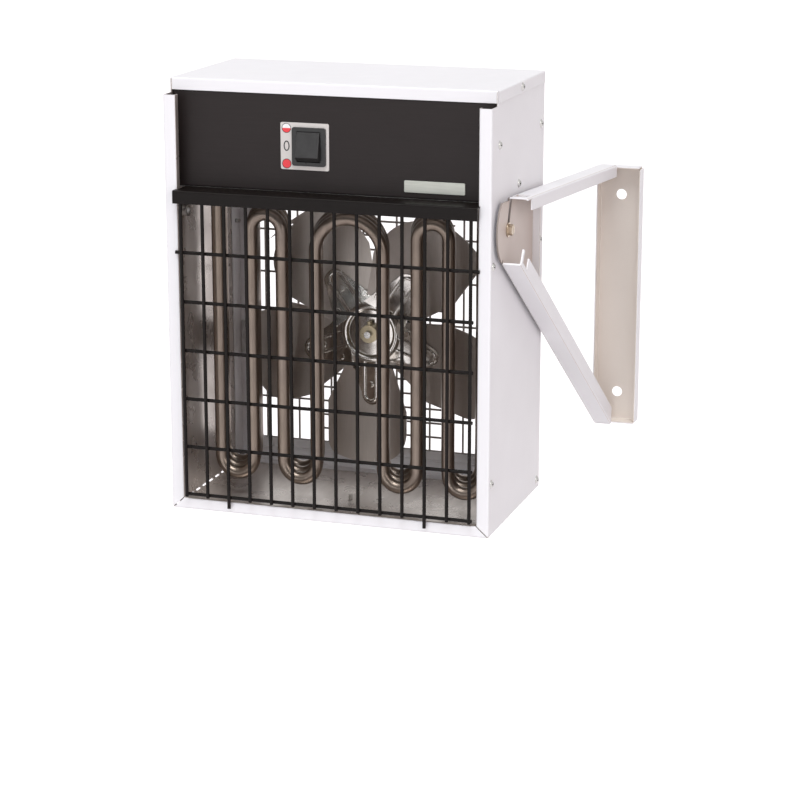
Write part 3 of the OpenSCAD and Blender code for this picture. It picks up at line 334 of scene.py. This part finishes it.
def card_black():
    finish = Finish("card_black", specular=0.0)
    tree = finish.tree
    finish.colour((0.08, 0.075, 0.07), (0.12, 0.11, 0.10), noise(tree, 2))
    finish.shader.inputs["Roughness"].default_value = 0.9
    return finish.material


def white_coat():
    finish = coat("white_coat")
    orange_peel(finish)
    finish.rough(0.36, 0.46, noise(finish.tree, 60))
    return finish.material


def casing_coat():
    """White powder coat outside, and bare rolled steel on the casing's inner faces."""
    low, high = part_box("casing")
    finish = coat("casing_coat")
    tree = finish.tree
    skin = Vector((HALF_SHEET, HALF_SHEET, HALF_SHEET))
    bare = inside_box(tree, low + skin, high + Vector((-HALF_SHEET, 1, 1)))
    streaks = noise(tree, 260, stretch=(1, 0.15, 0.04), detail=4)
    steel = blend_colours(tree, streaks, (0.50, 0.445, 0.41), (0.66, 0.60, 0.56))
    finish.recolour(steel, bare)
    sheen = spread(tree, noise(tree, 30), 0.55, 0.8)
    tree.links.new(link_math(tree, "MULTIPLY", bare, sheen), finish.shader.inputs["Metallic"])
    polish = link_math(tree, "MULTIPLY", bare, 0.12)
    rough = link_math(tree, "SUBTRACT", spread(tree, noise(tree, 40), 0.36, 0.46), polish)
    tree.links.new(rough, finish.shader.inputs["Roughness"])
    orange_peel(finish, link_math(tree, "SUBTRACT", 1, bare))
    return finish.material


def painted_shade_coat(finish, painted_shade_mask, darker, lighter):
    """Lays a beige painted shade over the white where the mask is 1."""
    tree = finish.tree
    shade_colour = blend_colours(tree, noise(tree, 30), darker, lighter)
    finish.recolour(shade_colour, painted_shade_mask)
    finish.rough(0.38, 0.48, noise(tree, 60))
    orange_peel(finish)
    return finish.material


def wall_plate_coat():
    low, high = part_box("wall_plate")
    finish = coat("wall_plate_coat")
    # Painted shade: beige on the front web and on the inner faces of the flanges
    inner_low = low + Vector((HALF_PLATE, -1, HALF_PLATE))
    inner = inside_box(finish.tree, inner_low, high - Vector((HALF_PLATE, HALF_PLATE, HALF_PLATE)))
    return painted_shade_coat(finish, inner, (0.72, 0.65, 0.59), (0.77, 0.70, 0.64))


def near_casing(tree, low):
    """1 on the bracket's sheet that lies along the casing, and 0 on what stands off it."""
    far = Vector((1, 1, 1))
    return inside_box(tree, low - far, (low.x + 2 * HALF_PLATE + NEAR_CASING, 1, 1))


def bracket_coat():
    """White outside, with beige painted shade on the faces that look into the folds, and painted shadow
    lines on the cut faces.
    """
    low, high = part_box("support_arm")
    finish = coat("bracket_coat")
    tree = finish.tree
    skin = Vector((HALF_PLATE, 0, 0))
    inner = inside_box(tree, low - Vector((0, 1, 1)) + skin, high + Vector((0, 1, 1)) - skin)
    place = tree.nodes.new("ShaderNodeTexCoord")
    facing = tree.nodes.new("ShaderNodeSeparateXYZ")
    tree.links.new(place.outputs["Normal"], facing.inputs[0])
    sideways = link_math(tree, "ABSOLUTE", facing.outputs[0], 0)
    across = link_math(tree, "GREATER_THAN", sideways, BROAD_FACE)
    backwards = link_math(tree, "GREATER_THAN", facing.outputs[1], BROAD_FACE)
    down = link_math(tree, "LESS_THAN", facing.outputs[2], DOWN_FACE)
    inwards = link_math(tree, "MAXIMUM", across, link_math(tree, "MAXIMUM", backwards, down))
    # Painted shade on the faces inside the folds and on those turned back or down
    painted_shade_mask = link_math(tree, "MULTIPLY", inner, inwards)
    material = painted_shade_coat(finish, painted_shade_mask, (0.54, 0.452, 0.405), (0.59, 0.50, 0.45))
    narrow = link_math(tree, "LESS_THAN", sideways, CUT_FACE)
    # Painted shadow lines on the cut faces next to the casing
    finish.recolour((0.24, 0.20, 0.18), link_math(tree, "MULTIPLY", narrow, near_casing(tree, low)))
    return material


def dark_panel():
    finish = Finish("dark_panel", specular=0.25)
    tree = finish.tree
    brushed = noise(tree, 2200, stretch=(0.02, 1, 1), detail=4)
    finish.colour((0.012, 0.0082, 0.0079), (0.020, 0.0142, 0.0137), brushed)
    finish.rough(0.42, 0.52, noise(tree, 40))
    finish.relief(brushed, 0.00001, edge=0.0005)
    return finish.material


def label():
    finish = Finish("label")
    tree = finish.tree
    finish.colour((0.57, 0.53, 0.505), (0.65, 0.61, 0.585), noise(tree, 1500))
    finish.rough(0.30, 0.40, noise(tree, 200))
    finish.relief(noise(tree, 900), 0.00001, edge=0.0003)
    return finish.material


def bare_plate():
    finish = Finish("bare_plate", metallic=1.0)
    tree = finish.tree
    brushed = noise(tree, 1800, stretch=(0.03, 1, 1), detail=4)
    finish.colour((0.43, 0.437, 0.395), (0.565, 0.572, 0.52), brushed)
    finish.rough(0.34, 0.44, noise(tree, 90))
    finish.relief(brushed, 0.00002, edge=0.0003)
    return finish.material


def switch_black():
    finish = Finish("switch_black")
    tree = finish.tree
    finish.colour((0.012, 0.012, 0.012), (0.020, 0.020, 0.020), noise(tree, 300))
    finish.rough(0.26, 0.36, noise(tree, 120))
    finish.relief(noise(tree, 2500, detail=2), 0.00001, edge=0.0004)
    return finish.material


def rocker_black():
    finish = Finish("rocker_black")
    tree = finish.tree
    # Black plastic set lighter than switch_black's, as a painted reflection on the rocker's face
    finish.colour((0.022, 0.021, 0.021), (0.034, 0.032, 0.032), noise(tree, 500))
    finish.rough(0.34, 0.44, noise(tree, 150))
    finish.relief(noise(tree, 3000, detail=2), 0.00002, edge=0.0005)
    return finish.material


def zinc():
    finish = Finish("zinc", metallic=1.0)
    tree = finish.tree
    place = tree.nodes.new("ShaderNodeTexCoord")
    spangle = add_node(tree, "ShaderNodeTexVoronoi", Vector=place.outputs["Object"], Scale=160)
    finish.colour((0.46, 0.45, 0.44), (0.62, 0.61, 0.60), spangle.outputs["Distance"])
    finish.rough(0.28, 0.46, noise(tree, 70))
    finish.relief(noise(tree, 500), 0.00002, edge=0.0005)
    return finish.material


def black_coat():
    finish = Finish("black_coat", specular=0.17)
    tree = finish.tree
    finish.colour((0.004, 0.0025, 0.002), (0.007, 0.0045, 0.0038), noise(tree, 120))
    # Painted sheen: a lighter colour on the sharp edges
    finish.recolour((0.020, 0.015, 0.013), faint(tree, sharp_edges(tree, 0.0004), 0.5))
    finish.rough(0.34, 0.46, noise(tree, 250))
    finish.relief(noise(tree, 1500, detail=2), 0.00002, edge=0.0005)
    return finish.material


def heater_tube():
    finish = Finish("heater_tube", metallic=1.0)
    tree = finish.tree
    streaks = noise(tree, 300, stretch=(1, 1, 0.04), detail=4)
    finish.colour((0.20, 0.161, 0.138), (0.31, 0.252, 0.217), streaks)
    heat = spread(tree, noise(tree, 14), 0, 0.6)
    finish.recolour((0.27, 0.215, 0.17), heat)
    finish.rough(0.28, 0.36, noise(tree, 180))
    finish.relief(noise(tree, 900, stretch=(1, 1, 0.2)), 0.000003)
    return finish.material


def plain_metal(
    name, dark, light, rough_low, rough_high,
    grain=600, depth=0.00001, stretch=(1, 1, 1), edge=0.0003,
):
    """A turned or stamped metal with streaks of the given grain."""
    finish = Finish(name, metallic=1.0)
    tree = finish.tree
    streaks = noise(tree, grain, stretch=stretch, detail=4)
    finish.colour(dark, light, streaks)
    finish.rough(rough_low, rough_high, noise(tree, grain / 4))
    finish.relief(streaks, depth, edge=edge)
    return finish


def brass_nut():
    return plain_metal("brass_nut", (0.36, 0.30, 0.20), (0.48, 0.41, 0.29), 0.25, 0.38).material


def terminal_steel():
    return plain_metal("terminal_steel", (0.50, 0.49, 0.47), (0.62, 0.60, 0.58), 0.25, 0.38).material


def core_steel():
    """Stacked laminations, whose edges show as fine lines across the shaft's direction."""
    return plain_metal(
        "core_steel", (0.16, 0.155, 0.15), (0.30, 0.29, 0.28), 0.40, 0.55,
        grain=1800, depth=0.00005, stretch=(0.02, 1, 0.02),
    ).material


def winding():
    """Copper wire under a varnished tape, with the turns running round the coil."""
    finish = Finish("winding")
    tree = finish.tree
    turns = noise(tree, 2600, stretch=(1, 0.03, 0.03), detail=2)
    finish.colour((0.13, 0.055, 0.028), (0.30, 0.14, 0.07), turns)
    finish.rough(0.30, 0.45, noise(tree, 200))
    finish.relief(turns, 0.0001, edge=0.0008)
    return finish.material


def screw_steel():
    """Bright zinc, with painted shade in the recess and round the head."""
    finish = plain_metal("screw_steel", (0.42, 0.41, 0.40), (0.66, 0.65, 0.63), 0.14, 0.24)
    # Painted shade in the cross recess and round the head
    finish.recolour((0.09, 0.08, 0.07), crevices(finish.tree, SCREW_CREVICE))
    return finish.material


def guard_wire():
    return plain_metal("guard_wire", (0.26, 0.24, 0.225), (0.38, 0.355, 0.335), 0.28, 0.40, edge=0).material


def ceramic_white():
    finish = Finish("ceramic_white")
    tree = finish.tree
    finish.colour((0.70, 0.68, 0.62), (0.78, 0.76, 0.70), noise(tree, 60))
    finish.rough(0.35, 0.50, noise(tree, 90))
    finish.relief(noise(tree, 1200), 0.00002, edge=0.0006)
    return finish.material


def dull_plastic(name, dark, light):
    finish = Finish(name)
    tree = finish.tree
    finish.colour(dark, light, noise(tree, 400))
    finish.rough(0.45, 0.60, noise(tree, 200))
    finish.relief(noise(tree, 1800), 0.00003, edge=0.0004)
    return finish.material


def gland_black():
    return dull_plastic("gland_black", (0.020, 0.020, 0.021), (0.032, 0.032, 0.033))


def washer_black():
    return dull_plastic("washer_black", (0.028, 0.026, 0.025), (0.045, 0.042, 0.040))


def pivot_brass():
    return plain_metal("pivot_brass", (0.46, 0.37, 0.27), (0.64, 0.54, 0.43), 0.20, 0.32).material


def shaft_steel():
    return plain_metal(
        "shaft_steel", (0.50, 0.49, 0.48), (0.62, 0.61, 0.59), 0.22, 0.32, stretch=(1, 0.05, 1)
    ).material


def spider_chrome():
    return plain_metal(
        "spider_chrome", (0.76, 0.73, 0.69), (0.88, 0.85, 0.81), 0.10, 0.20, grain=250, edge=0.0005
    ).material


def blade_aluminium():
    """Rolled sheet whose dull skin scatters part of the light."""
    finish = plain_metal(
        "blade_aluminium", (0.54, 0.48, 0.435), (0.64, 0.57, 0.525), 0.34, 0.46,
        grain=900, depth=0.00002, stretch=(1, 1, 0.06), edge=0.0004,
    )
    finish.shader.inputs["Metallic"].default_value = 0.45
    return finish.material


def ink(name, colour):
    """Screen print with a slightly uneven film."""
    finish = Finish(name)
    tree = finish.tree
    lighter = [min(1, c * 1.12 + 0.004) for c in colour]
    finish.colour(colour, lighter, noise(tree, 1200))
    finish.rough(0.35, 0.50, noise(tree, 700))
    finish.relief(noise(tree, 2000), 0.00001)
    return finish.material


FINISHES = (
    white_coat, dark_panel, label, bare_plate, switch_black, rocker_black, zinc, black_coat,
    heater_tube, brass_nut, terminal_steel, core_steel, winding, screw_steel, guard_wire,
    ceramic_white, gland_black, washer_black, pivot_brass, shaft_steel, spider_chrome, blade_aluminium,
)


def finish_parts():
    """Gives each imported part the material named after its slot, apart from the four in `special`."""
    made = {make.__name__: make() for make in FINISHES}
    special = {
        "casing": casing_coat(), "wall_plate": wall_plate_coat(), "support_arm": bracket_coat(),
        "fan_rivets": made["spider_chrome"],
    }
    for part in frame["record"]["subparts"]:
        slots = frame["nodes"][part["node"]].data.materials
        for i in range(len(slots)):
            slots[i] = special.get(part["node"], made[part["material_slot"]])


def add_mesh(name, points, faces, material):
    mesh = bpy.data.meshes.new(name)
    mesh.from_pydata(points, [], faces)
    mesh.materials.append(material)
    piece = bpy.data.objects.new(name, mesh)
    bpy.context.collection.objects.link(piece)
    return piece


def folded_strip(length, depth, rise, thick, bend):
    """Points and faces of a folded angle along X, its foot towards -Y and its upright at y = 0."""
    turns = [math.radians(-90 + 90 * i / BEND_STEPS) for i in range(BEND_STEPS + 1)]

    def arc(radius):
        return [(radius * math.cos(a) - bend, radius * math.sin(a) + bend) for a in turns]

    outer = [(-depth, 0)] + arc(bend) + [(0, rise)]
    inner = [(-depth, thick)] + arc(bend - thick) + [(-thick, rise)]
    outline = outer + inner[::-1]
    count = len(outline)
    points = [(x, y, z) for x in (0, length) for y, z in outline]
    faces = [(i, (i + 1) % count, count + (i + 1) % count, count + i) for i in range(count)]
    half = len(outer)
    for i in range(half - 1):
        ends = (i, i + 1, count - 2 - i, count - 1 - i)
        faces += [ends[::-1], tuple(count + j for j in ends)]
    return points, faces


def add_rear_lip(material):
    """The rear panel's foot is folded forward on the casing's floor and closes the gap there."""
    low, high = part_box("rear_panel")
    points, faces = folded_strip(high.x - low.x - 2 * LIP_END, LIP_DEPTH, LIP_RISE, LIP_THICK, LIP_BEND)
    start = Vector((low.x + LIP_END, high.y - 2 * HALF_SHEET - LIP_GAP, low.z))
    piece = add_mesh("rear_lip", [start + Vector(point) for point in points], faces, material)
    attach(piece, "heater")


# Printed marks, thin prints on the label plate


def oval(width, height, start=0.0, end=360.0):
    """Points of an oval about the origin, from one angle to another, closed when they are a turn apart."""
    whole = end - start == 360
    steps = ARC_STEPS if whole else ARC_STEPS // 2
    count = steps if whole else steps + 1
    angles = (math.radians(start + (end - start) * i / steps) for i in range(count))
    return [(width / 2 * math.cos(a), height / 2 * math.sin(a)) for a in angles]


def print_shape(name, outer, centre, material, inner=None, lift=1.0):
    """A thin print in the X-Z plane, filled inside `outer`, or between `outer` and `inner`."""
    count = len(outer)
    loops = [(outer, 0), (outer, lift)] + ([(inner, 0), (inner, lift)] if inner else [])
    points = [
        (centre.x + x, centre.y - height * MARK_THICK, centre.z + z)
        for loop, height in loops for x, z in loop
    ]
    after = [(i + 1) % count for i in range(count)]
    faces = [(i, j, count + j, count + i) for i, j in enumerate(after)]
    if inner:
        back, front = 2 * count, 3 * count
        faces += [(back + j, back + i, front + i, front + j) for i, j in enumerate(after)]
        faces += [(count + i, count + j, front + j, front + i) for i, j in enumerate(after)]
        faces += [(j, i, back + i, back + j) for i, j in enumerate(after)]
    else:
        faces += [tuple(range(count, 2 * count)), tuple(reversed(range(count)))]
    piece = add_mesh(name, points, faces, material)
    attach(piece, "heater")


def add_marks():
    low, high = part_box("switch_label")
    bezel_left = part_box("switch_housing")[0].x
    middle = Vector(((low.x + bezel_left) / 2, low.y, (low.z + high.z) / 2))
    step = Vector((0, 0, MARK_PITCH))
    black = ink("ink_black", (0.014, 0.012, 0.012))
    red = ink("ink_red", (0.72, 0.035, 0.045))
    white = ink("ink_white", (0.80, 0.77, 0.77))
    size = 2 * MARK_RADIUS
    inside = size - 2 * MARK_LINE
    for name, place in (("ring_half", middle + step), ("ring_full", middle - step)):
        print_shape(name, oval(size, size), place, black, inner=oval(inside, inside))
    print_shape("half_white", oval(inside, inside, 0, 180), middle + step, white, lift=FILL_LIFT)
    print_shape("half_red", oval(inside, inside, 180, 360), middle + step, red, lift=FILL_LIFT)
    print_shape("full_red", oval(inside, inside), middle - step, red, lift=FILL_LIFT)
    print_shape(
        "zero", oval(ZERO_WIDTH, ZERO_HEIGHT), middle, black,
        inner=oval(ZERO_WIDTH - 2 * ZERO_LINE, ZERO_HEIGHT - 2 * ZERO_LINE),
    )


with open("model.json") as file:
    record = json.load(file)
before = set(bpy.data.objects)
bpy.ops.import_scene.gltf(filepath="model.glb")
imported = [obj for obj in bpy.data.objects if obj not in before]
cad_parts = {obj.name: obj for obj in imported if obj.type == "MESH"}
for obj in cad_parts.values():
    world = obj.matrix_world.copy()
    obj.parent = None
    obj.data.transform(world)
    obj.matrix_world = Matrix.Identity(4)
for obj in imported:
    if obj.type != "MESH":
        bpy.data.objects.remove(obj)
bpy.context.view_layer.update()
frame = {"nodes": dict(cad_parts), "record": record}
bpy.context.scene.view_settings.view_transform = "Standard"
set_camera()
set_world()
add_sun("key", KEY_FROM, KEY_LEVEL, KEY_TINT)
add_sun("front", FRONT_FROM, FRONT_LEVEL, KEY_TINT)
add_sun("fill", FILL_FROM, FILL_LEVEL, FILL_TINT)
add_floor()
add_dark_card()
finish_parts()
add_rear_lip(frame["nodes"]["rear_panel"].data.materials[0])
add_marks()
